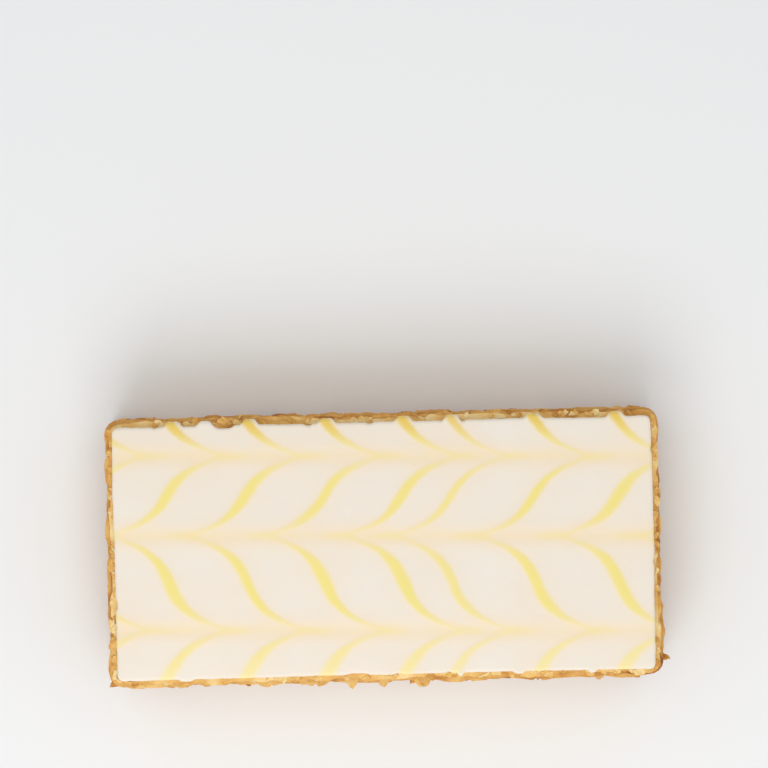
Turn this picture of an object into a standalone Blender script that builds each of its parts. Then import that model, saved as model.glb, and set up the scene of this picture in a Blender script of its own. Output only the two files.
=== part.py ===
"""A cut slice of mille feuille: pastry base, vanilla custard, pastry lid and feathered fondant icing.

Each layer is one closed solid that runs right through the slice. +X is along the slice, +Y across it, +Z up,
and the origin is under the middle of the slice, on the surface that it rests on. Lengths are in metres.
"""

import math
import random

import bmesh
import bpy

# Driving dimensions of the slice, at the icing's edge
SLICE_LENGTH = 0.1100
SLICE_WIDTH = 0.0515
CORNER_RADIUS = 0.0018

# Thickness of each layer, from the bottom up, and the hairline that parts one from the next
BASE_THICKNESS = 0.0066
CUSTARD_THICKNESS = 0.0114
LID_THICKNESS = 0.0060
ICING_THICKNESS = 0.0024
LAYER_GAP = 0.0003

# How far each layer reaches past the icing's edge, and how uneven that edge is
BASE_OVERHANG = 0.0015
LID_OVERHANG = 0.0011
CUSTARD_BULGE = 0.0004
PASTRY_RAGGEDNESS = 0.0008
LEAF_DEPTH = 0.0010
CUSTARD_UNEVENNESS = 0.0003
ICING_UNEVENNESS = 0.00025

# Each sheet of pastry shows its leaves as ridges, which stop short of the sheet's faces
LEAVES_PER_SHEET = 3
OUTER_MARGIN = 0.0006
SEAM_MARGIN = 0.0009

# Sections through the edge of the custard and the icing: share of the height, and how far the edge stands out
CUSTARD_SECTION = ((0.03, -0.5), (0.30, 1.0), (0.70, 0.8), (0.97, -0.5))
ICING_SECTION = ((0.04, -0.0002), (0.50, 0.0), (0.86, -0.0004))

# The seams between layers rise and fall by this much at the cut faces, and are level further in
SEAM_WAVE = 0.0004
SEAM_WAVE_COUNTS = (3, 5, 8, 13)
WAVY_INSET = 0.0015
LEVEL_INSET = 0.0045

# The yellow lines are piped across the slice, the first of them off its -X end. Where a line runs off the +Y
# edge it leaves a small blunt tip, a little further along. There is one more tip, beside a bite in that edge
FIRST_LINE = -0.060
LINE_GAPS = (0.016, 0.016, 0.016, 0.016, 0.010, 0.017, 0.017)
TIP_SHIFT = 0.001
SPARE_TIP = -0.036
TIP_LENGTH = 0.0009
TIP_HALF_WIDTH = 0.0015
NOTCH_PLACE = -0.032
NOTCH_DEPTH = 0.0005
NOTCH_HALF_WIDTH = 0.0020

# Points around each layer
PASTRY_POINTS = 150
CUSTARD_POINTS = 110
ICING_POINTS = 220
SMOOTH_ANGLE = math.radians(35)

# Seeds: one for each seam, counted from the bottom up, and one for each layer's ragged edge
LOWER_SEAM, UPPER_SEAM, ICING_SEAM = 1, 2, 3
BASE_SEED, LID_SEED, CUSTARD_SEED, ICING_SEED = 11, 21, 31, 51

COLOURS = {
    "pastry": (0.60, 0.31, 0.10, 1.0),
    "custard": (0.90, 0.70, 0.28, 1.0),
    "icing": (0.90, 0.82, 0.72, 1.0),
}
ROUGHNESS = {"pastry": 0.75, "custard": 0.45, "icing": 0.40}


def clear_scene():
    for obj in list(bpy.data.objects):
        bpy.data.objects.remove(obj, do_unlink=True)


def make_material(name):
    material = bpy.data.materials.new(name)
    material.use_nodes = True
    shader = material.node_tree.nodes["Principled BSDF"]
    shader.inputs["Base Color"].default_value = COLOURS[name]
    shader.inputs["Roughness"].default_value = ROUGHNESS[name]
    shader.inputs["Metallic"].default_value = 0.0
    return material


def outline_point(distance):
    """The point at that distance along the icing's rounded rectangle, and the outward normal there."""
    flat_x = SLICE_LENGTH / 2 - CORNER_RADIUS
    flat_y = SLICE_WIDTH / 2 - CORNER_RADIUS
    corner_length = CORNER_RADIUS * math.pi / 2
    # Each side starts where the corner before it ends: right, back, left, front
    corners = ((flat_x, flat_y), (-flat_x, flat_y), (-flat_x, -flat_y), (flat_x, -flat_y))
    sides = (2 * flat_y, 2 * flat_x, 2 * flat_y, 2 * flat_x)
    for number, (corner, side) in enumerate(zip(corners, sides)):
        facing = number * math.pi / 2
        if distance < side:
            along = side - distance
            normal = (math.cos(facing), math.sin(facing))
            x = corner[0] + CORNER_RADIUS * normal[0] + along * normal[1]
            y = corner[1] + CORNER_RADIUS * normal[1] - along * normal[0]
            return (x, y), normal
        distance -= side
        if distance < corner_length:
            angle = facing + distance / CORNER_RADIUS
            normal = (math.cos(angle), math.sin(angle))
            return (corner[0] + CORNER_RADIUS * normal[0], corner[1] + CORNER_RADIUS * normal[1]), normal
        distance -= corner_length
    return outline_point(0.0)


def outline_length():
    straight = 2 * (SLICE_LENGTH + SLICE_WIDTH) - 8 * CORNER_RADIUS
    return straight + 2 * math.pi * CORNER_RADIUS


def jagged(count, seed, size, passes=1):
    """One offset for each point of a closed outline: seeded noise, evened out between neighbours."""
    chance = random.Random(seed)
    values = [chance.uniform(-1.0, 1.0) for _ in range(count)]
    for _ in range(passes):
        values = [(values[i - 1] + 2 * values[i] + values[(i + 1) % count]) / 4 for i in range(count)]
    largest = max(abs(value) for value in values)
    return [size * value / largest for value in values]


def seam_wave(count, seed):
    """The rise and fall of the seam above a layer, for each point of a closed outline."""
    chance = random.Random(seed)
    rises = [0.0] * count
    for waves in SEAM_WAVE_COUNTS:
        phase = chance.uniform(0.0, 2 * math.pi)
        for i in range(count):
            rises[i] += SEAM_WAVE / len(SEAM_WAVE_COUNTS) * math.sin(2 * math.pi * waves * i / count + phase)
    return rises


def ring(count, offsets, heights):
    """Points around the slice, each moved out from the icing's edge by its offset and set at its height."""
    points = []
    for i in range(count):
        (x, y), normal = outline_point(outline_length() * i / count)
        points.append((x + offsets[i] * normal[0], y + offsets[i] * normal[1], heights[i]))
    return points


def wavy_ring(count, inset, height, wave):
    """Points around the slice, drawn in from the icing's edge in proportion, so that corners stay round."""
    narrower = 1 - 2 * inset / SLICE_LENGTH
    slimmer = 1 - 2 * inset / SLICE_WIDTH
    outline = [outline_point(outline_length() * i / count)[0] for i in range(count)]
    return [(x * narrower, y * slimmer, height + rise) for (x, y), rise in zip(outline, wave)]


def level_ring(count, inset, height):
    return wavy_ring(count, inset, height, [0.0] * count)


def stack(name, rings, material):
    """One closed solid: the first ring is filled, and its face is drawn up through the others."""
    mesh = bmesh.new()
    face = mesh.faces.new([mesh.verts.new(point) for point in rings[0]])
    face.copy(verts=False, edges=False)  # stays behind as the underside
    for points in rings[1:]:
        face = bmesh.ops.extrude_discrete_faces(mesh, faces=[face])["faces"][0]
        for vert, point in zip(face.verts, points):
            vert.co = point
    bmesh.ops.recalc_face_normals(mesh, faces=mesh.faces)
    data = bpy.data.meshes.new(name)
    mesh.to_mesh(data)
    mesh.free()
    data.materials.append(material)
    data.shade_smooth()
    data.set_sharp_from_angle(angle=SMOOTH_ANGLE)
    obj = bpy.data.objects.new(name, data)
    bpy.context.scene.collection.objects.link(obj)
    return obj


def leaf_rings(bottom, top, overhang, seed):
    """The cut edge of a pastry sheet: ridges where a leaf stands out, and a groove between each two."""
    rings = []
    steps = 2 * LEAVES_PER_SHEET - 1
    for step in range(steps):
        ridge = overhang if step % 2 == 0 else overhang - LEAF_DEPTH
        ragged = jagged(PASTRY_POINTS, seed + step, PASTRY_RAGGEDNESS)
        height = bottom + (top - bottom) * step / (steps - 1)
        rings.append(ring(PASTRY_POINTS, [ridge + value for value in ragged], [height] * PASTRY_POINTS))
    return rings


def make_base(bottom, material):
    top = bottom + BASE_THICKNESS
    foot = level_ring(PASTRY_POINTS, 0.0, bottom)
    leaves = leaf_rings(bottom + OUTER_MARGIN, top - SEAM_MARGIN, BASE_OVERHANG, BASE_SEED)
    shoulder = wavy_ring(PASTRY_POINTS, WAVY_INSET, top, seam_wave(PASTRY_POINTS, LOWER_SEAM))
    cap = level_ring(PASTRY_POINTS, LEVEL_INSET, top)
    return stack("pastry_base", [foot, *leaves, shoulder, cap], material)


def make_custard(bottom, material):
    count = CUSTARD_POINTS
    top = bottom + CUSTARD_THICKNESS
    lower, upper = seam_wave(count, LOWER_SEAM), seam_wave(count, UPPER_SEAM)
    rings = [level_ring(count, LEVEL_INSET, bottom), wavy_ring(count, WAVY_INSET, bottom, lower)]
    for number, (share, bulge) in enumerate(CUSTARD_SECTION):
        uneven = jagged(count, CUSTARD_SEED + number, CUSTARD_UNEVENNESS, passes=3)
        offsets = [bulge * CUSTARD_BULGE + value for value in uneven]
        thicknesses = [CUSTARD_THICKNESS + high - low for low, high in zip(lower, upper)]
        heights = [bottom + low + share * thickness for low, thickness in zip(lower, thicknesses)]
        rings.append(ring(count, offsets, heights))
    rings += [wavy_ring(count, WAVY_INSET, top, upper), level_ring(count, LEVEL_INSET, top)]
    return stack("custard", rings, material)


def make_lid(bottom, material):
    top = bottom + LID_THICKNESS
    under = level_ring(PASTRY_POINTS, LEVEL_INSET, bottom)
    shoulder = wavy_ring(PASTRY_POINTS, WAVY_INSET, bottom, seam_wave(PASTRY_POINTS, UPPER_SEAM))
    leaves = leaf_rings(bottom + SEAM_MARGIN, top - OUTER_MARGIN, LID_OVERHANG, LID_SEED)
    rim = wavy_ring(PASTRY_POINTS, WAVY_INSET, top, seam_wave(PASTRY_POINTS, ICING_SEAM))
    cap = level_ring(PASTRY_POINTS, LEVEL_INSET, top)
    return stack("pastry_lid", [under, shoulder, *leaves, rim, cap], material)


def blunt_bump(distance, height, half_width):
    return height * math.exp(-((distance / half_width) ** 4))


def tip_places():
    """Where the tips stand along the +Y edge."""
    places = [FIRST_LINE + sum(LINE_GAPS[: count + 1]) + TIP_SHIFT for count in range(len(LINE_GAPS))]
    return places + [SPARE_TIP]


def edge_mark(x, y):
    """How far the blunt tips push the icing out past its +Y edge at this point, or the bite takes it in."""
    if y < SLICE_WIDTH / 2 - CORNER_RADIUS / 2:
        return 0.0
    tips = sum(blunt_bump(x - place, TIP_LENGTH, TIP_HALF_WIDTH) for place in tip_places())
    return tips - blunt_bump(x - NOTCH_PLACE, NOTCH_DEPTH, NOTCH_HALF_WIDTH)


def make_icing(bottom, material):
    count = ICING_POINTS
    top = bottom + ICING_THICKNESS
    wave = seam_wave(count, ICING_SEAM)
    marks = [edge_mark(*outline_point(outline_length() * i / count)[0]) for i in range(count)]
    rings = [level_ring(count, LEVEL_INSET, bottom), wavy_ring(count, WAVY_INSET, bottom, wave)]
    for number, (share, bulge) in enumerate(ICING_SECTION):
        uneven = jagged(count, ICING_SEED + number, ICING_UNEVENNESS, passes=2)
        offsets = [bulge + mark + value for mark, value in zip(marks, uneven)]
        heights = [bottom + rise * (1 - share) + share * ICING_THICKNESS for rise in wave]
        rings.append(ring(count, offsets, heights))
    rings.append(level_ring(count, WAVY_INSET, top))
    return stack("icing", rings, material)


def build():
    clear_scene()
    pastry = make_material("pastry")
    height = 0.0
    make_base(height, pastry)
    height += BASE_THICKNESS + LAYER_GAP
    make_custard(height, make_material("custard"))
    height += CUSTARD_THICKNESS + LAYER_GAP
    make_lid(height, pastry)
    height += LID_THICKNESS + LAYER_GAP
    make_icing(height, make_material("icing"))


build()
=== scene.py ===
import math

import bmesh
import bpy
import numpy as np
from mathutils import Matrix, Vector


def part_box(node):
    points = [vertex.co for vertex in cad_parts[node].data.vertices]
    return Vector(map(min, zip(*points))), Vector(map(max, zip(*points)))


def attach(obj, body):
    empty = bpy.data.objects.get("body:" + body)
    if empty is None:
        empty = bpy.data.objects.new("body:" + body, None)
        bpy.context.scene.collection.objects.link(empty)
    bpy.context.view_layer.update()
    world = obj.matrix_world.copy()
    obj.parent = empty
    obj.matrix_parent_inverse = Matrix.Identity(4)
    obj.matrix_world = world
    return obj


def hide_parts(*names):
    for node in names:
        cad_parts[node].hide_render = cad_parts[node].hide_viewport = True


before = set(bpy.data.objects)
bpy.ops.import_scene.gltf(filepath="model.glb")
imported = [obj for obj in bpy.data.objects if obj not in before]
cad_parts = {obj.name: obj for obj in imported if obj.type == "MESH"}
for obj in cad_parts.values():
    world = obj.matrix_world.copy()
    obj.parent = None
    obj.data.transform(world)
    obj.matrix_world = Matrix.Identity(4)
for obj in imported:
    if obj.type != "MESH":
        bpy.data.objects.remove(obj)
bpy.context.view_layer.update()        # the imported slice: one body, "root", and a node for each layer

mm = 0.001

# Where each layer lies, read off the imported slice
baseLow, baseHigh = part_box("pastry_base")
custardLow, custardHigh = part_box("custard")
lidLow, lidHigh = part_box("pastry_lid")
icingLow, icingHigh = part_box("icing")

slicePlan = {
    "halfLong": icingHigh.x - 0.2 * mm,      # middle to the cut ends, at the icing
    "halfWide": -icingLow.y - 0.2 * mm,      # middle to the cut sides
    "corner": 1.3 * mm,                      # how round the four upright corners are
    "seams": [                               # heights that part the layers, from the bottom up
        baseLow.z,
        (baseHigh.z + custardLow.z) / 2,
        (custardHigh.z + lidLow.z) / 2,
        (lidHigh.z + icingLow.z) / 2,
        icingHigh.z,
    ],
    "seamWave": [0.0, 0.34 * mm, 0.36 * mm, 0.22 * mm, 0.0],
    "seed": 40,
}


def stage(words):
    print("mille feuille:", words)


def tint(red, green, blue):
    # a colour as a paint mixer names it, 0 to 255, turned into the linear values that shaders take
    values = [channel / 255 for channel in (red, green, blue)]
    return (*[v / 12.92 if v <= 0.04045 else ((v + 0.055) / 1.055) ** 2.4 for v in values], 1.0)


def smoothRamp(low, high, value):
    share = np.clip((value - low) / (high - low), 0.0, 1.0)
    return share * share * (3 - 2 * share)


def blendBetween(first, second, share):
    return first + (second - first) * share


def softNoise(u, v, seed, wrap=256):
    # smooth noise from -1 to 1 with one chance value a cell; u comes round again after wrap cells
    table = np.random.RandomState(seed).uniform(-1.0, 1.0, (256, 256))
    u, v = np.broadcast_arrays(np.asarray(u, float), np.asarray(v, float))
    cellU, cellV = np.floor(u).astype(int), np.floor(v).astype(int)
    shareU, shareV = smoothRamp(0, 1, u - cellU), smoothRamp(0, 1, v - cellV)
    left, right = (cellU % wrap) % 256, ((cellU + 1) % wrap) % 256
    low, high = cellV % 256, (cellV + 1) % 256
    lower = blendBetween(table[left, low], table[right, low], shareU)
    upper = blendBetween(table[left, high], table[right, high], shareU)
    return blendBetween(lower, upper, shareV)


def roughNoise(u, v, seed, wrap=256, octaves=3):
    # the same, with finer and fainter noise laid over it
    total = sum(softNoise(u * 2**k, v * 2**k, seed + k, wrap * 2**k) / 2**k for k in range(octaves))
    return total / sum(1 / 2**k for k in range(octaves))


def sliceOutline(count):
    # evenly spaced points round the slice, anticlockwise, with their outward directions and shares
    corner = slicePlan["corner"]
    angles = np.arange(4)[:, None] * math.pi / 2 + np.linspace(0, math.pi / 2, 9)
    sides = np.array([(1, 1), (-1, 1), (-1, -1), (1, -1)])
    x = sides[:, :1] * (slicePlan["halfLong"] - corner) + corner * np.cos(angles)
    y = sides[:, 1:] * (slicePlan["halfWide"] - corner) + corner * np.sin(angles)
    x, y, angles = np.append(x, x[0, 0]), np.append(y, y[0, 0]), np.append(angles, 2 * math.pi)
    way = np.append(0.0, np.cumsum(np.hypot(np.diff(x), np.diff(y))))
    share = np.arange(count) / count
    places = np.stack([np.interp(share * way[-1], way, values) for values in (x, y)], axis=1)
    facing = np.interp(share * way[-1], way, angles)
    return places, np.stack([np.cos(facing), np.sin(facing)], axis=1), share


def wayShare(x, y):
    # how far round the slice the nearest point of its outline is, from 0 to 1
    places, _, share = sliceOutline(1400)
    nearest = [np.argmin((places[:, 0] - a) ** 2 + (places[:, 1] - b) ** 2) for a, b in zip(x, y)]
    return share[nearest]


def seamHeight(level, share):
    # a seam's height round the slice: it rises and falls a little at the cut faces
    wave = slicePlan["seamWave"][level]
    seed = slicePlan["seed"] + 10 * level
    return slicePlan["seams"][level] + wave * (
        0.65 * softNoise(share * 14, 0.5, seed, 14) + 0.35 * softNoise(share * 47, 0.5, seed + 1, 47)
    )


def tubeFaces(rings, count, start=0, closed=True):
    # four-sided faces between rings of points; closed joins the last ring back to the first
    ring, point = np.meshgrid(np.arange(rings if closed else rings - 1), np.arange(count), indexing="ij")
    nextRing, nextPoint = (ring + 1) % rings, (point + 1) % count
    corners = (
        ring * count + point,
        ring * count + nextPoint,
        nextRing * count + nextPoint,
        nextRing * count + point,
    )
    return np.stack(corners, axis=-1).reshape(-1, 4) + start


def buildPiece(name, parts, material, sharpAngle=50):
    # one mesh from parts, each a dictionary of points, faces, and values that the material reads
    points, faces, values = [], [], {key: [] for key in parts[0]["values"]}
    for part in parts:
        start = sum(len(block) for block in points)
        points.append(part["points"])
        faces += [tuple(int(corner) + start for corner in face) for face in part["faces"]]
        for key in values:
            values[key].append(np.broadcast_to(part["values"][key], len(part["points"])))
    mesh = bpy.data.meshes.new(name)
    mesh.from_pydata(np.concatenate(points).tolist(), [], faces)
    for key, blocks in values.items():
        attribute = mesh.attributes.new(key, "FLOAT", "POINT")
        attribute.data.foreach_set("value", np.concatenate(blocks).astype(np.float32))
    mesh.materials.append(material)
    mesh.shade_smooth()
    mesh.set_sharp_from_angle(angle=math.radians(sharpAngle))
    piece = bpy.data.objects.new(name, mesh)
    bpy.context.scene.collection.objects.link(piece)
    return piece


def addNode(tree, kind, inputs=None, **settings):
    node = tree.nodes.new(kind)
    for key, value in settings.items():
        setattr(node, key, value)
    for key, value in (inputs or {}).items():
        if isinstance(value, bpy.types.NodeSocket):
            tree.links.new(value, node.inputs[key])
        else:
            node.inputs[key].default_value = value
    return node


def mixColours(tree, share, first, second):
    node = addNode(tree, "ShaderNodeMix", data_type="RGBA")
    for socket, value in ((node.inputs[0], share), (node.inputs[6], first), (node.inputs[7], second)):
        if isinstance(value, bpy.types.NodeSocket):
            tree.links.new(value, socket)
        else:
            socket.default_value = value
    return node.outputs[2]


def calculate(tree, operation, first, second=0.0, third=0.0):
    return addNode(tree, "ShaderNodeMath", {0: first, 1: second, 2: third}, operation=operation).outputs[0]


def readValue(tree, name):
    return addNode(tree, "ShaderNodeAttribute", attribute_name=name).outputs["Fac"]


def rampBetween(tree, value, fromLow, fromHigh, toLow=0.0, toHigh=1.0):
    inputs = {"Value": value, "From Min": fromLow, "From Max": fromHigh, "To Min": toLow, "To Max": toHigh}
    return addNode(tree, "ShaderNodeMapRange", inputs, interpolation_type="SMOOTHSTEP").outputs["Result"]


def newGroup(name, inputs, outputs):
    group = bpy.data.node_groups.new(name, "ShaderNodeTree")
    for socket, value in inputs.items():
        made = group.interface.new_socket(socket, in_out="INPUT", socket_type="NodeSocketFloat")
        made.default_value = value
    for socket in outputs:
        group.interface.new_socket(socket, in_out="OUTPUT", socket_type="NodeSocketFloat")
    return group, group.nodes.new("NodeGroupInput"), group.nodes.new("NodeGroupOutput")


def makeMottleGroup():
    # cloudy patches, for colour that isn't quite even: Scale in patches a metre
    sockets = {"Scale": 100.0, "Contrast": 1.0}
    group, given, result = newGroup("cloudyPatches", sockets, ["Patches", "Speckle"])
    place = addNode(group, "ShaderNodeTexCoord").outputs["Object"]
    cloudInputs = {"Vector": place, "Scale": given.outputs["Scale"], "Detail": 4.0}
    cloud = addNode(group, "ShaderNodeTexNoise", cloudInputs)
    spread = calculate(group, "SUBTRACT", cloud.outputs["Fac"], 0.5)
    spread = calculate(group, "MULTIPLY_ADD", spread, given.outputs["Contrast"], 0.5)
    patches = addNode(group, "ShaderNodeClamp", {"Value": spread}).outputs[0]
    group.links.new(patches, result.inputs["Patches"])
    fineScale = calculate(group, "MULTIPLY", given.outputs["Scale"], 9.0)
    fine = addNode(group, "ShaderNodeTexNoise", {"Vector": place, "Scale": fineScale, "Detail": 2.0})
    group.links.new(rampBetween(group, fine.outputs["Fac"], 0.55, 0.72), result.inputs["Speckle"])
    return group


def makeGrainGroup():
    # fine relief for crumb, sugar and pores: Height rises with grain and dips in pits, Pits marks the dips
    sockets = {"Grain Scale": 3000.0, "Pit Scale": 900.0, "Pit Size": 0.2, "Pit Depth": 1.0}
    group, given, result = newGroup("grainAndPits", sockets, ["Height", "Pits"])
    place = addNode(group, "ShaderNodeTexCoord").outputs["Object"]
    grainInputs = {"Vector": place, "Scale": given.outputs["Grain Scale"], "Detail": 3.0}
    grain = addNode(group, "ShaderNodeTexNoise", grainInputs)
    cellInputs = {"Vector": place, "Scale": given.outputs["Pit Scale"], "Randomness": 1.0}
    cells = addNode(group, "ShaderNodeTexVoronoi", cellInputs)
    near = calculate(group, "DIVIDE", cells.outputs["Distance"], given.outputs["Pit Size"])
    pits = rampBetween(group, near, 0.4, 1.0, 1.0, 0.0)
    # only some cells hold a pit
    chosen = addNode(group, "ShaderNodeSeparateColor", {"Color": cells.outputs["Color"]}).outputs["Red"]
    pits = calculate(group, "MULTIPLY", pits, rampBetween(group, chosen, 0.55, 0.75))
    group.links.new(pits, result.inputs["Pits"])
    dip = calculate(group, "MULTIPLY", pits, given.outputs["Pit Depth"])
    group.links.new(calculate(group, "SUBTRACT", grain.outputs["Fac"], dip), result.inputs["Height"])
    return group


mottleGroup = makeMottleGroup()
grainGroup = makeGrainGroup()


def newMaterial(name, settings):
    material = bpy.data.materials.new(name)
    material.use_nodes = True
    shader = material.node_tree.nodes["Principled BSDF"]
    for socket, value in settings.items():
        shader.inputs[socket].default_value = value
    return material, material.node_tree, shader


def useGroup(tree, group, inputs):
    node = addNode(tree, "ShaderNodeGroup", node_tree=group)
    for socket, value in inputs.items():
        node.inputs[socket].default_value = value
    return node


def addBump(tree, shader, height, distance, strength=1.0):
    inputs = {"Height": height, "Distance": distance, "Strength": strength}
    tree.links.new(addNode(tree, "ShaderNodeBump", inputs).outputs["Normal"], shader.inputs["Normal"])


icing = {
    "cell": 0.36 * mm,                       # spacing of the fine grid
    "rimSteps": (0.0, 0.05, 0.12, 0.22, 0.36, 0.55, 0.8, 1.1, 1.45),   # closer rows at the edge, mm in
    "rimRadius": 0.5 * mm,                   # how round the cut edge is
    "wallSteps": 9,
    "wander": 0.22 * mm,                     # slow drift of the cut edges
    "nibble": 0.10 * mm,                     # small unevenness of the cut edges
    "chip": 0.32 * mm,                       # where bits of the edge have broken away
    "swell": 0.12 * mm,                      # slow rise and fall of the top
    "lineRise": 0.07 * mm,                   # the lines stand a little proud
    "combDip": 0.06 * mm,                    # the furrows that the comb leaves
    "combWidth": 1.3,                        # mm
    "lineHalfWidth": 1.45,                   # mm, along the slice
    # other tips, bites and drips on the long edges: place, half width and how far out, in mm
    "backMarks": [(-36, 1.5, 1.0), (-32, 1.9, -0.6)],
    "tipHalfWidth": 1.6,                     # mm, of the blunt tip where a line runs off the +Y edge
    "tipOut": 1.1,                           # mm
    "frontMarks": [(15, 0.5, 0.7), (27, 1.1, 0.55), (-6, 2.2, -0.35), (-41, 1.4, 0.5), (42, 0.8, 0.6)],
    "cream": tint(243, 236, 224),
    "creamDeep": tint(243, 231, 215),
    "blush": tint(250, 228, 198),            # warmer round the lines and along the comb's rows
    "hazeYellow": tint(249, 230, 176),
    "lineYellow": tint(247, 230, 140),
    # painted shade and painted light: the lines get a darker yellow towards the +Y edge, away from the
    # softbox, and a paler one towards the -Y edge, which faces it
    "lineInPaintedShade": tint(238, 205, 98),
    "lineInPaintedLight": tint(249, 233, 168),
    "cutFace": tint(233, 221, 200),
}

feathering = {
    "firstLine": -5.0,                       # mm from the -X end to the first line, which is off the slice
    "gaps": (16, 16, 16, 16, 10, 17, 17, 16),    # mm between lines, uneven as piped by hand
    "thin": 5,                               # the line that follows the narrow gap is piped thinner
    "thinShare": 0.85,
    "combRows": (1.36, 0.73, 0.10, -0.65, -1.31),    # where the comb passes, in half widths
    "combSkew": 0.025,                       # the comb passes a little askew to the slice
    "firstPull": -12.0,                      # mm that a pass drags the lines along, to and fro by turns
    "reach": 3.4,                            # mm over which that pull dies away
}


def combPasses():
    # where each pass of the comb lies across the slice, and its pull along it, in mm
    halfWide = slicePlan["halfWide"] / mm
    pull = feathering["firstPull"]
    return [(share * halfWide, pull * (-1) ** k) for k, share in enumerate(feathering["combRows"])]


def pipedPlaces():
    # where the lines were piped along the slice before combing, in mm
    first = -slicePlan["halfLong"] / mm + feathering["firstLine"]
    return first + np.append(0, np.cumsum(feathering["gaps"]))


combRows = combPasses()
combSkew = feathering["combSkew"]
pipedLines = pipedPlaces()


def pulledLine(place, x, y):
    # where a piped line lies after combing, and how hard it is sheared there
    across = y + combSkew * x
    centre, shear = np.full_like(y, place), np.zeros_like(y)
    for row, pull in combRows:
        away = np.abs(across - row)
        fading = np.exp(-away / feathering["reach"])
        centre = centre + pull * fading
        shear = shear - pull / feathering["reach"] * np.sign(across - row) * fading
    return centre, np.abs(shear)


def tipMarks():
    # the blunt tips that the lines leave where they run off the +Y edge
    edge = np.array([slicePlan["halfWide"] / mm])
    ends = [float(pulledLine(place, np.array([place]), edge)[0][0]) for place in pipedLines]
    return [(end, icing["tipHalfWidth"], icing["tipOut"]) for end in ends]


def featherPattern(x, y):
    # the yellow feathering: how much of a line is at each point, and the haze along the comb's rows
    line, strength, near = np.zeros_like(x), np.zeros_like(x), np.zeros_like(x)
    wobble = 0.22 * roughNoise(x / 5, y / 5, 71)
    halfWidth = icing["lineHalfWidth"] * (1 + 0.22 * softNoise(x / 9, y / 6, 75))
    for k, piped in enumerate(pipedLines):
        thickness = feathering["thinShare"] if k == feathering["thin"] else 1.0
        centre, shear = pulledLine(piped, x, y)
        away = np.abs(x + wobble - centre)
        profile = np.exp(-(away / halfWidth / thickness) ** 2.2)
        faded = 1 / (1 + (shear / 2.1) ** 3.2)
        stronger = profile > line
        line = np.where(stronger, profile, line)
        strength = np.where(stronger, faded * thickness, strength)
        near = np.maximum(near, np.exp(-away / np.hypot(1, shear) ** 0.5 / 1.9))
    across = y + combSkew * x
    rows = sum(np.exp(-np.abs((across - row) / 2.4) ** 1.5) for row, _ in combRows)
    blush = np.clip(0.8 * near + 0.9 * rows * (0.8 + 0.3 * roughNoise(x / 7, across / 2.5, 87)), 0, 1)
    haze = sum(np.exp(-np.abs((across - row) / 1.5) ** 1.5) for row, _ in combRows)
    haze = haze * (0.36 + 0.3 * roughNoise(x / 6, across / 1.5, 83))
    # the comb drags each line's colour on along its row
    for piped in pipedLines:
        for row, pull in combRows:
            cusp = pulledLine(piped, x, np.full_like(y, row) - combSkew * x)[0]
            onward = (x - cusp) * np.sign(pull)
            trail = smoothRamp(-4.0, -0.5, onward) * smoothRamp(6.5, 1.0, onward)
            haze = haze + 0.75 * trail * np.exp(-((across - row) / 0.75) ** 2)
    return line, strength, np.clip(haze, 0, 1), blush


def edgeMarks(x, marks):
    # tips, drips and bites along an edge, in metres
    return sum(out * np.exp(-np.abs((x / mm - place) / half) ** 5) for place, half, out in marks) * mm


def rimLines(half):
    # grid lines from one edge to the other, closer together at both
    steps = np.array(icing["rimSteps"]) * mm
    inner = half - steps[-1]
    middle = np.linspace(-inner, inner, int(2 * inner / icing["cell"]) + 1)
    return np.concatenate([-half + steps[:-1], middle, half - steps[:-1][::-1]])


def icingPlan():
    # flat grid of the icing with round corners, wandering cut edges, and the marks along its long edges
    halfLong, halfWide, corner = slicePlan["halfLong"], slicePlan["halfWide"], slicePlan["corner"]
    flatX, flatY = np.meshgrid(rimLines(halfLong), rimLines(halfWide), indexing="ij")
    inX = np.maximum(np.abs(flatX) - (halfLong - corner), 0)
    inY = np.maximum(np.abs(flatY) - (halfWide - corner), 0)
    pull = np.maximum(inX, inY) / np.maximum(np.hypot(inX, inY), 1e-9)
    x = np.where(inX * inY > 0, np.sign(flatX) * (halfLong - corner + inX * pull), flatX)
    y = np.where(inX * inY > 0, np.sign(flatY) * (halfWide - corner + inY * pull), flatY)
    edge = np.minimum(halfLong - np.abs(flatX), halfWide - np.abs(flatY))
    wander, nibble = icing["wander"], icing["nibble"]
    backMarks = icing["backMarks"] + tipMarks()
    for sign, marks, seed in ((1, backMarks, 5), (-1, icing["frontMarks"], 15)):
        share = smoothRamp(2.6 * mm, 0.0, halfWide - sign * y)
        push = edgeMarks(x, marks) + wander * softNoise(x / (14 * mm), 0.5, seed)
        push = push - icing["chip"] * smoothRamp(0.35, 0.75, softNoise(x / (2.1 * mm), 0.5, seed + 6))
        y = y + sign * share * (push + nibble * roughNoise(x / (1.7 * mm), 0.5, seed + 3))
    for sign, seed in ((1, 25), (-1, 35)):
        share = smoothRamp(2.6 * mm, 0.0, halfLong - sign * x)
        push = wander * softNoise(y / (12 * mm), 0.5, seed)
        push = push + nibble * roughNoise(y / (1.7 * mm), 0.5, seed + 3)
        push = push - icing["chip"] * smoothRamp(0.35, 0.75, softNoise(y / (2.1 * mm), 0.5, seed + 6))
        x = x + sign * share * push
    return x, y, edge


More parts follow.
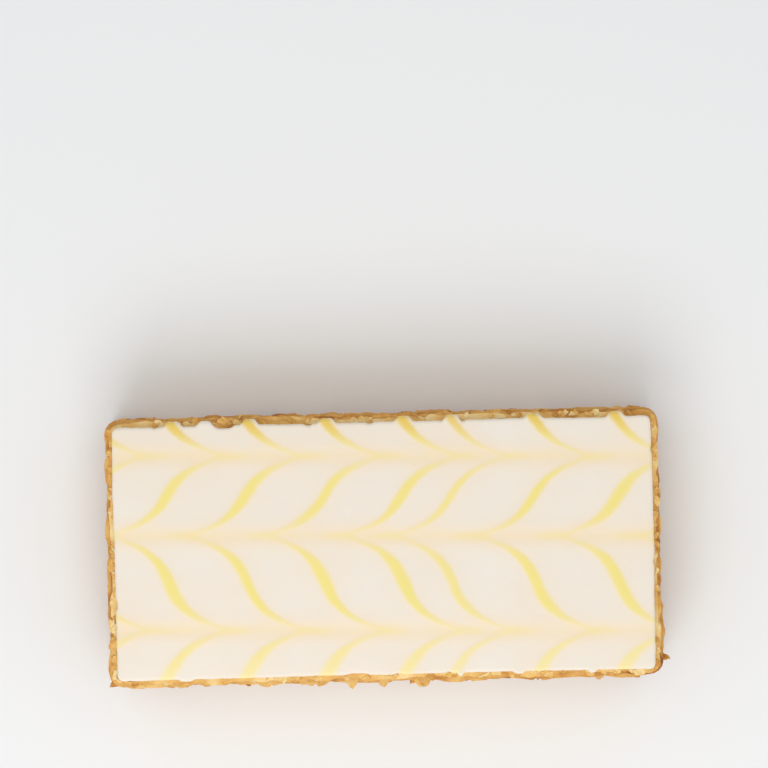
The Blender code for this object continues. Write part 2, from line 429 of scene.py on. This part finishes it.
def makeIcing():
    stage("icing: grid, rim and feathering")
    x, y, edge = icingPlan()
    line, strength, haze, blush = featherPattern(x / mm, y / mm)
    across = y / mm + combSkew * x / mm
    top = slicePlan["seams"][4] - icing["swell"]
    top = top + icing["swell"] * 0.7 * softNoise(x / (13 * mm), y / (11 * mm), 3)
    top = top + icing["swell"] * 0.22 * roughNoise(x / (3.5 * mm), y / (3 * mm), 7)
    top = top + icing["lineRise"] * line * strength
    for row, _ in combRows:
        away = (across - row) / icing["combWidth"]
        ripple = np.exp(-away**2) - 0.45 * np.exp(-((np.abs(away) - 1.7) / 0.8) ** 2)
        top = top - icing["combDip"] * ripple * (0.75 + 0.25 * softNoise(x / (7 * mm), row, 11))
    radius = icing["rimRadius"]
    roundOff = radius - np.sqrt(np.maximum(radius**2 - np.maximum(radius - edge, 0) ** 2, 0))
    beyond = np.maximum(np.abs(y) - slicePlan["halfWide"] - 0.4 * mm, 0)
    top = top - roundOff - 0.14 * mm * np.exp(-edge / (1.6 * mm)) - 0.3 * beyond
    points = np.stack([x, y, top], axis=-1)
    rows, columns = x.shape
    ids = np.arange(rows * columns).reshape(rows, columns)
    faces = np.stack([ids[:-1, :-1], ids[1:, :-1], ids[1:, 1:], ids[:-1, 1:]], axis=-1).reshape(-1, 4)
    rim = np.concatenate([ids[-1, :-1], ids[::-1, -1][:-1], ids[0, ::-1][:-1], ids[:-1, 0]])
    # the cut wall under the rim, down to the pastry, and a flat underside that closes it
    flat = points.reshape(-1, 3)
    border = flat[rim]
    way = wayShare(border[:, 0], border[:, 1])
    foot = seamHeight(3, way) - 0.25 * mm
    count = len(rim)
    out = border[:, :2] - border[:, :2].mean(0)
    out = np.sign(out) * np.stack([
        smoothRamp(slicePlan["halfLong"] - 1.2 * mm, slicePlan["halfLong"], np.abs(border[:, 0])),
        smoothRamp(slicePlan["halfWide"] - 1.2 * mm, slicePlan["halfWide"], np.abs(border[:, 1])),
    ], axis=1)
    wall = []
    for step in range(1, icing["wallSteps"] + 1):
        share = step / icing["wallSteps"]
        bulge = 0.10 * mm * math.sin(math.pi * share) - 0.12 * mm * share
        drag = 0.07 * mm * roughNoise(way * 300, share * 3, 55, 300)
        drag = drag + 0.05 * mm * softNoise(way * 90, share, 57, 90)
        ring = np.empty((count, 3))
        ring[:, :2] = border[:, :2] + out * (bulge + drag * min(1.0, 3 * share))[:, None]
        ring[:, 2] = blendBetween(border[:, 2], foot, share)
        wall.append(ring)
    wallPoints = np.concatenate(wall)
    start = len(flat)
    faces = faces.tolist()
    under = start + np.arange(count)
    first = np.stack([rim, under, np.roll(under, -1), np.roll(rim, -1)], axis=1)
    faces += first.tolist()
    faces += [face[::-1] for face in tubeFaces(icing["wallSteps"], count, start, closed=False).tolist()]
    last = start + (icing["wallSteps"] - 1) * count
    faces.append([last + k for k in range(count)])
    depth = np.repeat(np.arange(1, icing["wallSteps"] + 1) / icing["wallSteps"], count)
    lineWall = np.tile(line.ravel()[rim], icing["wallSteps"]) * np.clip(1 - depth * 1.6, 0, 1)
    values = {
        "feather": np.concatenate([line.ravel(), lineWall]),
        "strength": np.concatenate([strength.ravel(), np.tile(strength.ravel()[rim], icing["wallSteps"])]),
        "haze": np.concatenate([haze.ravel(), np.zeros(len(depth))]),
        "blush": np.concatenate([blush.ravel(), np.zeros(len(depth))]),
        "cut": np.concatenate([0.35 * np.exp(-edge.ravel() / (0.5 * mm)), np.clip(0.3 + depth * 2, 0, 1)]),
    }
    part = {"points": np.concatenate([flat, wallPoints]), "faces": faces, "values": values}
    piece = buildPiece("icingTop", [part], icingMaterial(), sharpAngle=80)
    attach(piece, "root")
    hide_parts("icing")
    return piece


def icingMaterial():
    settings = {"Roughness": 0.4, "IOR": 1.46, "Subsurface Weight": 0.12, "Subsurface Scale": 0.0012}
    material, tree, shader = newMaterial("featheredFondant", settings)
    shader.inputs["Subsurface Radius"].default_value = (1.0, 0.75, 0.5)
    clouds = useGroup(tree, mottleGroup, {"Scale": 60.0, "Contrast": 2.2})
    relief = {"Grain Scale": 5200.0, "Pit Scale": 750.0, "Pit Size": 0.16, "Pit Depth": 2.5}
    grain = useGroup(tree, grainGroup, relief)
    place = addNode(tree, "ShaderNodeTexCoord").outputs["Object"]
    # the colour bleeds a little at each line's edge
    bleed = addNode(tree, "ShaderNodeTexNoise", {"Vector": place, "Scale": 1300.0, "Detail": 3.0})
    bleed = calculate(tree, "MULTIPLY_ADD", bleed.outputs["Fac"], 0.34, -0.17)
    edge = calculate(tree, "ADD", readValue(tree, "feather"), bleed)
    mask = calculate(tree, "MULTIPLY", rampBetween(tree, edge, 0.10, 0.90), readValue(tree, "strength"))
    # painted shade: the lines darken from 20.5 mm towards the +Y edge, away from the softbox; painted light:
    # they pale from -15 mm towards the -Y edge, which faces it
    split = addNode(tree, "ShaderNodeSeparateXYZ", {"Vector": place})
    deep = rampBetween(tree, split.outputs["Y"], 20.5 * mm, 26.5 * mm)
    pale = rampBetween(tree, split.outputs["Y"], -15 * mm, -25 * mm)
    yellow = mixColours(tree, deep, icing["lineYellow"], icing["lineInPaintedShade"])
    yellow = mixColours(tree, pale, yellow, icing["lineInPaintedLight"])
    base = mixColours(tree, clouds.outputs["Patches"], icing["cream"], icing["creamDeep"])
    tints = (("blush", 0.8, "blush"), ("haze", 0.85, "hazeYellow"), ("cut", 0.8, "cutFace"))
    for value, share, colour in tints:
        amount = calculate(tree, "MULTIPLY", readValue(tree, value), share)
        base = mixColours(tree, amount, base, icing[colour])
    base = mixColours(tree, mask, base, yellow)
    tree.links.new(base, shader.inputs["Base Color"])
    rough = calculate(tree, "MULTIPLY_ADD", clouds.outputs["Patches"], 0.12, 0.34)
    rough = calculate(tree, "MULTIPLY_ADD", readValue(tree, "cut"), 0.25, rough)
    tree.links.new(rough, shader.inputs["Roughness"])
    addBump(tree, shader, grain.outputs["Height"], 0.02 * mm, 0.5)
    return material


pastry = {
    "pointsAround": 680,
    "leaves": 14,
    "corePoints": 240,
    # the core's side: share of the sheet's height, and mm in from its outline
    "coreRings": ((0.03, 3.4), (0.12, 2.9), (0.3, 2.7), (0.5, 2.9), (0.7, 2.7), (0.88, 2.9), (0.97, 3.4)),
    "depths": (4.4, 2.2, 0.95, 0.22),        # how far in each row of a leaf's points lies, mm
    "leafThickness": 0.17 * mm,
    "gap": 0.80 * mm,                        # widest opening between two leaves before they are packed
    "ragged": 0.62 * mm,
    "curl": 0.22 * mm,
    "frizz": 0.11 * mm,                      # quick rise and fall of the broken leaf edges
    "chip": 0.85 * mm,                       # how deep small pieces have broken from the leaf edges
    "floorLift": 0.03 * mm,                  # the lowest leaf stays this far above the baked underside
    "bakeStops": (                           # how brown each amount of baking is
        (0.10, tint(249, 222, 163)),
        (0.36, tint(240, 194, 113)),
        (0.62, tint(218, 159, 74)),
        (0.85, tint(172, 109, 42)),
        (1.00, tint(118, 66, 24)),
    ),
    "custardStain": tint(232, 190, 106),
}


def pastrySheet(name, node, level, reach, seed):
    # a sheet of puff pastry seen at its cut edge: thin leaves that part and meet again, over a dense middle
    stage(name + ": leaves")
    count, leaves = pastry["pointsAround"], pastry["leaves"]
    places, facing, share = sliceOutline(count)
    low, high = seamHeight(level, share), seamHeight(level + 1, share)
    chance = np.random.RandomState(seed)
    thick = np.stack([
        pastry["leafThickness"] * (1 + 0.45 * softNoise(share * 60, j * 1.7, seed + 1, 60))
        for j in range(leaves)
    ])
    gaps = np.stack([
        pastry["gap"] * chance.uniform(0.35, 1.5)
        * np.maximum(0, roughNoise(share * 24, j * 2.3, seed + 2, 24, 2) + chance.uniform(-0.12, 0.12))
        for j in range(leaves - 1)
    ])
    room = high - low
    squeeze = room / (thick.sum(0) + gaps.sum(0))
    # where the leaves already fill the sheet they are pressed thinner, elsewhere the gaps open
    thick, gaps = thick * squeeze, gaps * squeeze
    under = low + np.concatenate([np.zeros((1, count)), np.cumsum(thick[:-1] + gaps, axis=0)])
    half = np.array([slicePlan["halfLong"], slicePlan["halfWide"]])
    depths = np.array(pastry["depths"]) * mm
    deepest = depths[0]
    parts = []
    for j in range(leaves):
        middle = under[j] + thick[j] / 2
        even = low + room * (j + 0.5) / leaves
        edge = reach + chance.uniform(-0.3, 0.35) * mm + pastry["ragged"] * (
            0.75 * softNoise(share * 46, j * 3.1, seed + 3, 46)
            + 0.5 * roughNoise(share * 170, j * 3.1, seed + 4, 170, 2)
        )
        chipped = smoothRamp(0.1, 0.5, softNoise(share * 120, j * 7.7, seed + 10, 120))
        edge = edge - pastry["chip"] * chipped * (0.6 + 0.4 * softNoise(share * 60, j * 5.1, seed + 11, 60))
        for _ in range(chance.randint(3, 7)):
            # a stretch of the leaf has broken away
            centre, width = chance.uniform(), chance.uniform(0.005, 0.024)
            away = np.abs((share - centre + 0.5) % 1 - 0.5)
            edge = edge - chance.uniform(0.5, 1.5) * mm * smoothRamp(width, width - 0.003, away)
        if level == 2 and j == leaves - 1:
            edge = np.maximum(edge, 0.7 * mm)
        curl = pastry["curl"] * roughNoise(share * 34, j * 1.3, seed + 5, 34, 2)
        curl = curl + pastry["frizz"] * softNoise(share * 150, j * 4.3, seed + 12, 150)
        faceHeat = abs((j + 0.5) / leaves - 0.5) * 2          # outer leaves of the sheet brown the most
        bake = 0.30 + 0.20 * faceHeat**2 + chance.uniform(-0.10, 0.10)
        bake = bake + 0.18 * softNoise(share * 30, j * 2.9, seed + 6, 30)
        bake = bake + 0.24 * roughNoise(share * 110, j * 3.7, seed + 13, 110, 2)
        if level == 2 and j == leaves - 1:
            bake = bake - 0.16               # the leaf under the icing stays paler
        touching = (level == 0 and j >= leaves - 2) or (level == 2 and j <= 1)
        stain = np.zeros(count)
        if touching:
            stain = np.clip(roughNoise(share * 30, j, seed + 7, 30, 3) + 0.25, 0, 1)
        rows, bakes, stains = [], [], []
        for side in (1, -1):
            order = depths if side == 1 else depths[::-1]
            for d in order:
                spread = 1 - (d / deepest) ** 1.4
                height = blendBetween(even, middle, spread)
                ripple = 0.06 * mm * softNoise(share * 260, d / mm + 5 * j, seed + 8, 260)
                thin = 0.5 * blendBetween(1.0, 0.55, d == depths[-1]) * thick[j]
                height = height + side * thin + ripple + curl * smoothRamp(2.4 * mm, 0.0, d)
                inward = places * (1 - d / half)
                rows.append(np.column_stack([inward + facing * (edge * (1 - d / deepest))[:, None], height]))
                bakes.append(bake + 0.12 * (1 - d / deepest) - 0.17 * (d > 1.2 * mm))
                stains.append(stain * (1 - 0.4 * d / deepest))
            if side == 1:
                rows.append(np.column_stack([places + facing * edge[:, None], middle + curl]))
                bakes.append(bake + 0.17)
                stains.append(stain * 0.9)
        if level == 0:
            for row in rows:
                row[:, 2] = np.maximum(row[:, 2], pastry["floorLift"])
        parts.append({
            "points": np.concatenate(rows),
            "faces": tubeFaces(len(rows), count),
            "values": {"bake": np.concatenate(bakes), "stain": np.concatenate(stains)},
        })
    parts.append(pastryCore(level, seed))
    piece = buildPiece(name, parts, pastryMaterial(), sharpAngle=65)
    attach(piece, "root")
    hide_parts(node)
    return piece


def pastryCore(level, seed):
    # the dense pale middle of a sheet, set back behind the leaves; the lower one carries the baked underside
    count = pastry["corePoints"]
    places, facing, share = sliceOutline(count)
    low, high = seamHeight(level, share), seamHeight(level + 1, share)
    half = np.array([slicePlan["halfLong"], slicePlan["halfWide"]])
    rows, bakes = [], []
    if level == 0:
        for scale in np.linspace(0.02, 0.985, 26):
            spot = places * scale
            blister = roughNoise(spot[:, 0] / (5 * mm), spot[:, 1] / (5 * mm), seed + 14)
            lift = 0.22 * mm * smoothRamp(-0.15, 0.5, blister) * smoothRamp(0.84, 0.74, scale)
            rows.append(np.column_stack([spot, lift]))
            bakes.append(0.56 - 0.2 * smoothRamp(-0.15, 0.5, blister))
    for part, inset in pastry["coreRings"]:
        rough = 0.35 * mm * roughNoise(share * 80, part * 9, seed + 9, 80)
        spot = places * (1 - inset * mm / half) + facing * rough[:, None]
        rows.append(np.column_stack([spot, blendBetween(low, high, part)]))
        bakes.append(np.full(count, 0.3))
    faces = tubeFaces(len(rows), count, closed=False).tolist()
    faces.append([count - 1 - k for k in range(count)])
    faces.append([(len(rows) - 1) * count + k for k in range(count)])
    values = {"bake": np.concatenate(bakes), "stain": 0.0}
    return {"points": np.concatenate(rows), "faces": faces, "values": values}


def pastryColour(tree, bake, stain):
    # pale crumb through gold to toasted brown, and darker where custard has soaked in
    clouds = useGroup(tree, mottleGroup, {"Scale": 260.0, "Contrast": 2.4})
    shift = calculate(tree, "MULTIPLY_ADD", clouds.outputs["Patches"], 0.34, -0.17)
    heat = calculate(tree, "ADD", bake, shift)
    heat = calculate(tree, "MULTIPLY_ADD", clouds.outputs["Speckle"], 0.12, heat)
    ramp = addNode(tree, "ShaderNodeValToRGB", {"Fac": heat})
    stops = ramp.color_ramp.elements
    stops.remove(stops[1])
    stops[0].position, stops[0].color = pastry["bakeStops"][0]
    for place, colour in pastry["bakeStops"][1:]:
        stops.new(place).color = colour
    soaked = rampBetween(tree, calculate(tree, "ADD", stain, shift), 0.25, 0.75, 0.0, 0.7)
    return mixColours(tree, soaked, ramp.outputs["Color"], pastry["custardStain"]), soaked


def pastryMaterial():
    known = bpy.data.materials.get("puffPastry")
    if known:
        return known
    settings = {"Roughness": 0.6, "IOR": 1.45, "Subsurface Weight": 0.06, "Subsurface Scale": 0.0008}
    material, tree, shader = newMaterial("puffPastry", settings)
    colour, soaked = pastryColour(tree, readValue(tree, "bake"), readValue(tree, "stain"))
    tree.links.new(colour, shader.inputs["Base Color"])
    relief = {"Grain Scale": 2600.0, "Pit Scale": 1300.0, "Pit Size": 0.35, "Pit Depth": 0.9}
    grain = useGroup(tree, grainGroup, relief)
    # butter leaves a light sheen in patches, and soaked leaves shine more
    rough = calculate(tree, "MULTIPLY_ADD", grain.outputs["Height"], 0.25, 0.48)
    rough = calculate(tree, "MULTIPLY_ADD", soaked, -0.25, rough)
    tree.links.new(rough, shader.inputs["Roughness"])
    addBump(tree, shader, grain.outputs["Height"], 0.09 * mm, 0.8)
    return material


custard = {
    "pointsAround": 1000,
    "rows": 38,
    "bulge": 0.42 * mm,
    "tuck": 0.9 * mm,                        # how far its edge draws in under the pastry
    "sink": 0.25 * mm,                       # how far it reaches into the pastry above and below
    "drag": 0.055 * mm,                      # upright marks of the knife
    "bubbles": 60,
    "yellow": tint(252, 224, 150),
    # the deeper yellow serves both the cloudy patches, as real tone, and painted shade in the bubble hollows
    "deepYellowAndPitShade": tint(248, 210, 124),
    "paleYellow": tint(254, 236, 188),
}


def makeCustard():
    stage("custard: cut face")
    count, rows = custard["pointsAround"], custard["rows"]
    places, facing, share = sliceOutline(count)
    low, high = seamHeight(1, share) - custard["sink"], seamHeight(2, share) + custard["sink"]
    up = np.linspace(0, 1, rows)[:, None]
    around = share[None, :]
    out = custard["bulge"] * (1 - np.abs(2 * up - 0.92) ** 3) - custard["tuck"] * np.abs(2 * up - 1) ** 9
    out = out + 0.16 * mm * roughNoise(around * 42, up * 3, 91, 42)
    out = out + custard["drag"] * roughNoise(around * 300, up * 1.3 + around * 40, 95, 300)
    thickness = high - low
    height = low + up * thickness
    length = 4 * (slicePlan["halfLong"] + slicePlan["halfWide"])
    chance = np.random.RandomState(17)
    hollow = np.zeros_like(out)
    for _ in range(custard["bubbles"]):
        size = chance.uniform(0.3, 0.75) ** 2 * 1.0 * mm
        alongWay = (np.abs((around - chance.uniform() + 0.5) % 1 - 0.5)) * length
        away = np.hypot(alongWay, height - blendBetween(low, high, chance.uniform(0.06, 0.94)))
        hollow = np.maximum(hollow, 0.6 * np.sqrt(np.maximum(size**2 - away**2, 0)))
    out = out - hollow
    points = np.empty((rows, count, 3))
    points[..., :2] = places + facing * out[..., None]
    points[..., 2] = height
    faces = tubeFaces(rows, count, closed=False).tolist()
    faces.append([count - 1 - k for k in range(count)])
    faces.append([(rows - 1) * count + k for k in range(count)])
    rubbed = np.clip(0.5 + 0.8 * roughNoise(around * 60, up * 2.2, 97, 60), 0, 1) * np.ones_like(up)
    values = {"rubbed": rubbed.ravel(), "hollow": np.clip(hollow / (0.3 * mm), 0, 1).ravel()}
    part = {"points": points.reshape(-1, 3), "faces": faces, "values": values}
    piece = buildPiece("custardLayer", [part], custardMaterial(), sharpAngle=70)
    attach(piece, "root")
    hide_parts("custard")
    return piece


def custardMaterial():
    settings = {"IOR": 1.40, "Subsurface Weight": 0.22, "Subsurface Scale": 0.0018, "Coat Roughness": 0.25}
    material, tree, shader = newMaterial("vanillaCustard", settings)
    shader.inputs["Subsurface Radius"].default_value = (1.0, 0.8, 0.35)
    clouds = useGroup(tree, mottleGroup, {"Scale": 170.0, "Contrast": 1.8})
    relief = {"Grain Scale": 1900.0, "Pit Scale": 1100.0, "Pit Size": 0.3, "Pit Depth": 1.6}
    grain = useGroup(tree, grainGroup, relief)
    base = mixColours(tree, clouds.outputs["Patches"], custard["yellow"], custard["deepYellowAndPitShade"])
    smear = calculate(tree, "MULTIPLY", readValue(tree, "rubbed"), 0.55)
    base = mixColours(tree, smear, base, custard["paleYellow"])
    # painted shade: the bubble hollows are painted the deeper yellow, darker the deeper they go
    base = mixColours(tree, readValue(tree, "hollow"), base, custard["deepYellowAndPitShade"])
    tree.links.new(base, shader.inputs["Base Color"])
    rough = calculate(tree, "MULTIPLY_ADD", readValue(tree, "rubbed"), 0.22, 0.30)
    tree.links.new(rough, shader.inputs["Roughness"])
    sheen = rampBetween(tree, clouds.outputs["Patches"], 0.3, 0.8, 0.1, 0.4)
    tree.links.new(sheen, shader.inputs["Coat Weight"])
    addBump(tree, shader, grain.outputs["Height"], 0.05 * mm, 0.6)
    return material


flakes = {
    "scattered": 120,
    "ledge": 170,
    "length": (1.2, 3.6),                    # mm
    "width": (0.9, 3.2),                     # mm
    "thickness": 0.11 * mm,
    "curl": (-0.9, 0.9),                     # mm at the free end
    "seed": 23,
    # flakes that stand out along the -Y edge: place along the slice, how far out, width and curl, in mm
    "frontFlakes": (
        (-7, 2.8, 3.4, -0.3), (-1, 2.5, 2.6, 0.1), (7, 2.7, 4.2, 0.9), (17, 2.0, 9.5, -0.3),
        (-24, 1.9, 9.5, -0.2), (31, 1.9, 10.0, -0.1), (-15, 2.0, 7.2, -0.1), (-43, 1.8, 8.4, -0.2),
    ),
}


def flakeShape(length, width, curl, chance):
    # a thin curled shard of pastry lying along +X, with a broken outline
    steps, across = 10, 9
    along = np.sin(np.linspace(0, math.pi / 2, steps))   # closer together at the round free end
    a, b = np.meshgrid(along, np.linspace(-0.5, 0.5, across), indexing="ij")
    shift = chance.randint(0, 200)
    narrow = np.sqrt(np.clip(1.01 - (a * 0.995) ** 4, 0, 1))
    narrow = narrow * (1 + 0.28 * softNoise(a * 4, b * 0.1 + 3, shift))
    x = a * length * (1 + 0.14 * softNoise(b * 6, 0.5, shift + 1))
    y = b * width * narrow + 0.12 * length * a * chance.uniform(-1, 1)
    z = curl * a**2 + 0.22 * mm * softNoise(a * 2.4, b * 3.5, shift + 2) - 0.35 * curl * (2 * b) ** 2 * a
    return np.stack([x, y, z], axis=-1)


def flakePart(spot, outward, lift, shape, bake):
    # the shard set at its spot, pointing outward and tilted, with its underside
    flat = shape.reshape(-1, 3)
    side = np.array([-outward[1], outward[0], 0])
    forward = np.array([outward[0] * math.cos(lift), outward[1] * math.cos(lift), math.sin(lift)])
    up = np.cross(forward, side)
    topSide = spot + flat[:, :1] * forward + flat[:, 1:2] * side + flat[:, 2:] * up
    underSide = topSide - up * flakes["thickness"]
    rows, columns = shape.shape[:2]
    ids = np.arange(rows * columns).reshape(rows, columns)
    quads = np.stack([ids[:-1, :-1], ids[1:, :-1], ids[1:, 1:], ids[:-1, 1:]], axis=-1).reshape(-1, 4)
    rim = np.concatenate([ids[:-1, 0], ids[-1, :-1], ids[::-1, -1][:-1], ids[0, ::-1][:-1]])
    total = rows * columns
    edge = np.stack([rim, rim + total, np.roll(rim, -1) + total, np.roll(rim, -1)], axis=1)
    faces = quads.tolist() + (quads[:, ::-1] + total).tolist() + edge.tolist()
    toast = bake + 0.18 * np.linspace(0, 1, rows)[:, None] * np.ones((1, columns))
    points = np.concatenate([topSide, underSide])
    points[:, 2] += max(0.0, 0.1 * mm - points[:, 2].min())
    return {"points": points, "faces": faces, "values": {"bake": np.tile(toast.ravel(), 2), "stain": 0.0}}


def makeFlakes():
    stage("loose flakes")
    chance = np.random.RandomState(flakes["seed"])
    places, facing, _ = sliceOutline(2000)
    seams = slicePlan["seams"]
    parts = []
    for place, out, width, curl in flakes["frontFlakes"]:
        inward = 1.6 * mm
        height = seams[3] - chance.uniform(0.5, 1.6) * mm
        spot = np.array([place * mm, -slicePlan["halfWide"] + inward, height])
        shape = flakeShape(out * mm + inward, width * mm, curl * mm, chance)
        parts.append(flakePart(spot, np.array([0.0, -1.0]), chance.uniform(-0.1, 0.06), shape, 0.26))
    for _ in range(flakes["ledge"]):
        # thin scales lying flat on the lid's edge, beside the icing
        k = chance.randint(0, len(places))
        spot = np.append(places[k] + facing[k] * chance.uniform(-0.2, 0.5) * mm, seams[3] + 0.1 * mm)
        length, width = chance.uniform(0.5, 1.3) * mm, chance.uniform(0.8, 2.6) * mm
        shape = flakeShape(length, width, chance.uniform(-0.15, 0.25) * mm, chance)
        turn = math.atan2(facing[k][1], facing[k][0]) + chance.uniform(-0.9, 0.9)
        outward = np.array([math.cos(turn), math.sin(turn)])
        parts.append(flakePart(spot, outward, chance.uniform(-0.25, 0.12), shape, chance.uniform(0.05, 0.5)))
    for _ in range(flakes["scattered"]):
        k = chance.randint(0, len(places))
        level = chance.choice([0, 2])
        part = chance.uniform(0.08, 0.95)
        height = blendBetween(seams[level], seams[level + 1], part)
        spot = np.append(places[k] + facing[k] * chance.uniform(-0.9, 0.1) * mm, height)
        length, width = (chance.uniform(*flakes[size]) * mm for size in ("length", "width"))
        shape = flakeShape(length, width, chance.uniform(*flakes["curl"]) * mm * length / (3 * mm), chance)
        turn = math.atan2(facing[k][1], facing[k][0]) + chance.choice([-1, 1]) * chance.uniform(0.5, 1.45)
        outward = np.array([math.cos(turn), math.sin(turn)])
        parts.append(flakePart(spot, outward, chance.uniform(-0.5, 0.4), shape, chance.uniform(0.15, 0.6)))
    piece = buildPiece("looseFlakes", parts, pastryMaterial(), sharpAngle=60)
    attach(piece, "root")
    return piece


crumbs = {
    "count": 240,
    "size": (0.12, 0.42),                    # mm
    "seed": 31,
}


def roundCrumb():
    # a ball of small triangles, as a start for every crumb
    work = bmesh.new()
    bmesh.ops.create_icosphere(work, subdivisions=2, radius=1.0)
    points = np.array([vert.co[:] for vert in work.verts])
    faces = [[vert.index for vert in face.verts] for face in work.faces]
    work.free()
    return points, faces


def makeCrumbs():
    stage("crumbs")
    chance = np.random.RandomState(crumbs["seed"])
    places, facing, share = sliceOutline(2000)
    points, faces = roundCrumb()
    seams = slicePlan["seams"]
    parts = []
    for _ in range(crumbs["count"]):
        k = chance.randint(0, len(places))
        size = chance.uniform(*crumbs["size"]) * mm
        noise = softNoise(points[:, 0] * 2 + points[:, 2], points[:, 1] * 2, chance.randint(0, 500))
        lumps = 1 + 0.35 * noise
        stretch = chance.uniform(0.6, 1.3, 3)
        on = chance.choice(3, p=[0.10, 0.48, 0.42])
        if on == 0:                          # caught on the custard's face
            height = blendBetween(seams[1], seams[2], chance.beta(0.8, 1.4))
            out = custard["bulge"] + 0.1 * size
        elif on == 1:                        # on the ledge of the lower sheet
            height = seams[1] + 0.25 * mm
            out = chance.uniform(0.2, 1.1) * mm
        else:                                # among the leaves
            height = blendBetween(seams[0], seams[3], chance.uniform(0.03, 0.98))
            out = chance.uniform(0.3, 0.9) * mm
        spot = np.append(places[k] + facing[k] * out, max(height, 1.1 * size))
        values = {"bake": chance.uniform(0.1, 0.45 if on == 0 else 0.75), "stain": 0.0}
        shaped = spot + points * lumps[:, None] * stretch * size
        parts.append({"points": shaped, "faces": faces, "values": values})
    piece = buildPiece("crumbs", parts, pastryMaterial(), sharpAngle=40)
    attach(piece, "root")
    return piece


studio = {
    "wide": 156.7 * mm,                      # what the picture takes in at the icing's height
    "lens": 200.0,
    "sensor": 36.0,
    "aim": (0.85 * mm, 33.55 * mm),
    "turn": -1.45,                           # degrees
    "floor": tint(246, 247, 248),
    "floorHalf": 3.0,                        # metres
    "softboxSpot": (-0.05, -0.28, 0.42),
    "softboxSize": 0.32,
    "softboxPower": 0.92,
    "daylight": 0.70,
}


def makeCamera():
    camera = bpy.data.cameras.new("camera")
    camera.lens, camera.sensor_width = studio["lens"], studio["sensor"]
    camera.clip_start, camera.clip_end = 0.01, 20.0
    holder = bpy.data.objects.new("camera", camera)
    height = slicePlan["seams"][4] + studio["wide"] * studio["lens"] / studio["sensor"]
    holder.location = (*studio["aim"], height)
    holder.rotation_euler = (0.0, 0.0, math.radians(studio["turn"]))
    bpy.context.scene.collection.objects.link(holder)
    bpy.context.scene.camera = holder


def makeFloor():
    half = studio["floorHalf"]
    mesh = bpy.data.meshes.new("floor")
    corners = [(-half, -half, 0), (half, -half, 0), (half, half, 0), (-half, half, 0)]
    mesh.from_pydata(corners, [], [(0, 1, 2, 3)])
    material, _, _ = newMaterial("paleFloor", {"Base Color": studio["floor"], "Roughness": 0.9})
    mesh.materials.append(material)
    floor = bpy.data.objects.new("floor", mesh)
    bpy.context.scene.collection.objects.link(floor)


def makeLights():
    lamp = bpy.data.lights.new("softbox", "AREA")
    lamp.shape, lamp.size, lamp.energy = "SQUARE", studio["softboxSize"], studio["softboxPower"]
    softbox = bpy.data.objects.new("softbox", lamp)
    softbox.location = studio["softboxSpot"]
    softbox.rotation_euler = (-Vector(studio["softboxSpot"])).to_track_quat("-Z", "Y").to_euler()
    bpy.context.scene.collection.objects.link(softbox)
    world = bpy.data.worlds.new("studio")
    world.use_nodes = True
    background = world.node_tree.nodes["Background"]
    background.inputs["Color"].default_value = (1.0, 1.0, 1.0, 1.0)
    background.inputs["Strength"].default_value = studio["daylight"]
    bpy.context.scene.world = world


makeCamera()
makeFloor()
makeLights()
bpy.context.scene.view_settings.view_transform = "Standard"

pastrySheet("pastryBase", "pastry_base", 0, 1.45 * mm, 300)
makeCustard()
pastrySheet("pastryLid", "pastry_lid", 2, 1.3 * mm, 500)
makeIcing()
makeFlakes()
makeCrumbs()

stage("done")
